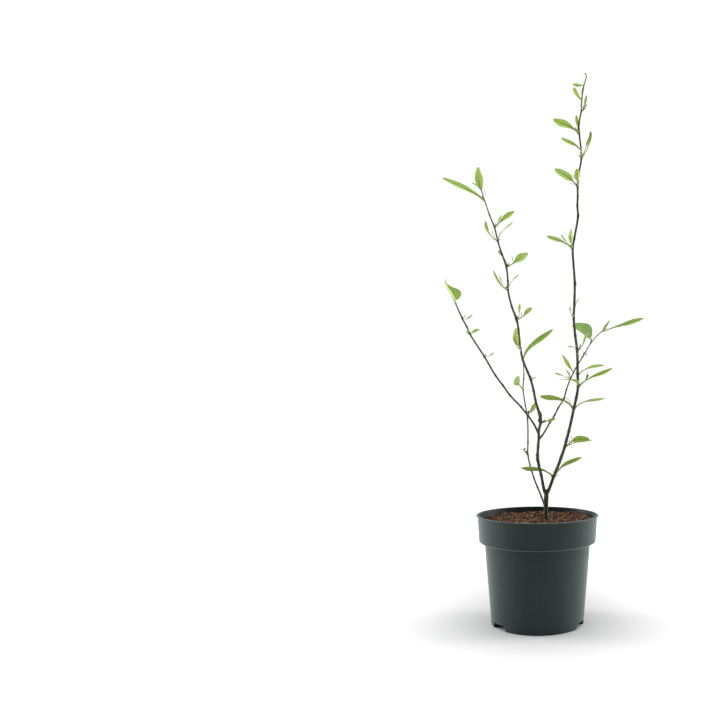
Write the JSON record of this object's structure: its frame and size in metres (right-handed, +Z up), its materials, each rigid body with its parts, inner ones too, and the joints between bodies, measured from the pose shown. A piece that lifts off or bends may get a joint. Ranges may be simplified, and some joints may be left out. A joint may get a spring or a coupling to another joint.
{
  "type": "potted saucer magnolia sapling",
  "caption": "Young deciduous sapling with slender dark stems and sparse fresh spring leaves, in a round tapered plastic grower's pot with a deep rim band.",
  "frame": {"origin": "middle of the pot's flat underside, at ground level", "axes": "+Z up along the pot's axis, +X to the right and +Y to the back as the picture shows the plant"},
  "size_m": [0.2906, 0.17, 0.7576],
  "materials": {
    "pot_plastic": "satin dark grey-green, moulded",
    "moist_coir": "rough brown fibres and crumbs",
    "bark": "smooth young bark with pale lenticels, green on the new shoots",
    "leaf": "soft fresh yellow-green"
  },
  "bodies": {
    "root": {"pot": "pot_plastic", "growing_medium": "moist_coir", "trunk": "bark", "left_leader": "bark", "left_leader_leaves_1": "leaf", "left_leader_leaves_2": "leaf", "left_leader_leaves_3": "leaf", "left_leader_leaves_4": "leaf", "left_leader_leaves_5": "leaf", "left_leader_leaves_6": "leaf", "left_leader_leaves_7": "leaf", "left_leader_leaves_8": "leaf", "left_leader_leaves_9": "leaf", "right_leader": "bark", "right_leader_leaves_1": "leaf", "right_leader_leaves_2": "leaf", "right_leader_leaves_3": "leaf", "right_leader_leaves_4": "leaf", "right_leader_leaves_5": "leaf", "right_leader_leaves_6": "leaf", "right_leader_leaves_7": "leaf", "right_leader_leaves_8": "leaf", "right_leader_leaves_9": "leaf", "right_leader_leaves_10": "leaf", "right_leader_leaves_11": "leaf", "right_leader_leaves_12": "leaf", "right_leader_leaves_13": "leaf", "left_branch": "bark", "left_branch_leaves_1": "leaf", "left_branch_leaves_2": "leaf", "left_branch_leaves_3": "leaf", "left_branch_leaves_4": "leaf", "left_branch_leaves_5": "leaf", "right_branch": "bark", "right_branch_leaves_1": "leaf", "right_branch_leaves_2": "leaf", "right_branch_leaves_3": "leaf", "right_branch_leaves_4": "leaf", "basal_shoot": "bark", "basal_shoot_leaves_1": "leaf", "basal_shoot_leaves_2": "leaf", "basal_shoot_leaves_3": "leaf"}
  },
  "joints": []
}
